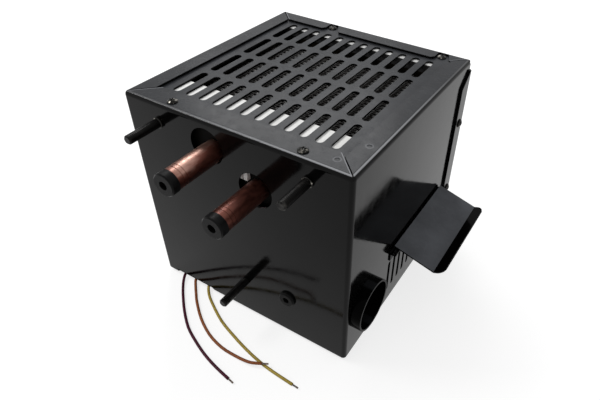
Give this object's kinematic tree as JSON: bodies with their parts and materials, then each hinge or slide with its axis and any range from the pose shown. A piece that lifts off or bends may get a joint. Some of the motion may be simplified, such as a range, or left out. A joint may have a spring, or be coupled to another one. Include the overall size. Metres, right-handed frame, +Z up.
{
  "type": "caravan water heater",
  "caption": "Box-shaped hot-water cabin heater: slotted folded case, finned core with pipe stubs, radial blower, duct collar, stud mounts and a hinged outlet flap.",
  "frame": {"origin": "middle of the underside, on the base plate's lower face", "axes": "+X to the side with the flap and the duct collar, +Y from the pipes to the back, +Z up through the grille"},
  "size_m": [0.2169, 0.237, 0.171],
  "materials": {
    "black_paint": "gloss black enamel on folded steel",
    "black_screw": "black zinc",
    "zinc_steel": "zinc plated",
    "copper": "tarnished copper",
    "black_plastic": "moulded black",
    "brass": "dull brass",
    "tube_brass": "tinned flat tube",
    "fin_copper": "dark copper strip",
    "white_foam": "white foam",
    "dark_sheet": "dark sheet steel",
    "rotor_plastic": "moulded",
    "ceramic": "ceramic",
    "black_rubber": "rubber",
    "maroon_pvc": "PVC insulation",
    "orange_pvc": "PVC insulation",
    "yellow_pvc": "PVC insulation",
    "dull_copper": "tinned strands"
  },
  "bodies": {
    "case": {"case_wrap": "black_paint", "base_plate": "black_paint", "base_screws": "zinc_steel", "grille_plate": "black_paint", "case_screws": "black_screw", "clip_nuts": "zinc_steel", "rear_lugs": "black_paint", "mounting_studs": "black_screw", "stud_collars": "black_screw", "inlet_pipe": "copper", "outlet_pipe": "copper", "front_tank": "brass", "rear_tank": "brass", "header_plates": "brass", "core_tubes": "tube_brass", "core_fins": "fin_copper", "core_side_plates": "brass", "foam_seal_front": "white_foam", "foam_seal_rear": "white_foam", "pipe_foam": "white_foam", "fan_deck": "dark_sheet", "fan_motor": "zinc_steel", "motor_end_caps": "black_plastic", "motor_bracket": "dark_sheet", "motor_screws": "zinc_steel", "speed_resistor": "ceramic", "resistor_bracket": "dark_sheet", "terminal_block": "ceramic", "outlet_spigot": "black_paint", "hinge_pin": "zinc_steel", "hinge_leaf": "black_paint", "hinge_rivets": "black_screw", "front_grommet": "black_rubber", "wire_grommet": "black_rubber", "wire_maroon": "maroon_pvc", "wire_orange": "orange_pvc", "wire_yellow": "yellow_pvc", "wire_tips": "dull_copper"},
    "flap": {"outlet_flap": "black_paint"},
    "rotor": {"fan_rotor": "rotor_plastic", "rotor_nut": "zinc_steel", "motor_shaft": "zinc_steel", "motor_armature": "fin_copper"},
    "inlet_plug_body": {"inlet_plug": "black_plastic"},
    "outlet_plug_body": {"outlet_plug": "black_plastic"}
  },
  "joints": [
    {"name": "flap_hinge", "type": "hinge", "parent": "case", "child": "flap", "pos_m": [0.091, 0.0195, 0.0615], "axis": [0, 1, 0], "range_deg": [-10, 74]},
    {"name": "rotor_spin", "type": "hinge", "parent": "case", "child": "rotor", "pos_m": [-0.002, 0.009, 0.09], "axis": [0, 0, 1], "continuous": true},
    {"name": "inlet_plug_slide", "type": "slide", "parent": "case", "child": "inlet_plug_body", "axis": [0, -1, 0], "range_m": [0, 0.08]},
    {"name": "outlet_plug_slide", "type": "slide", "parent": "case", "child": "outlet_plug_body", "axis": [0, -1, 0], "range_m": [0, 0.08]}
  ]
}
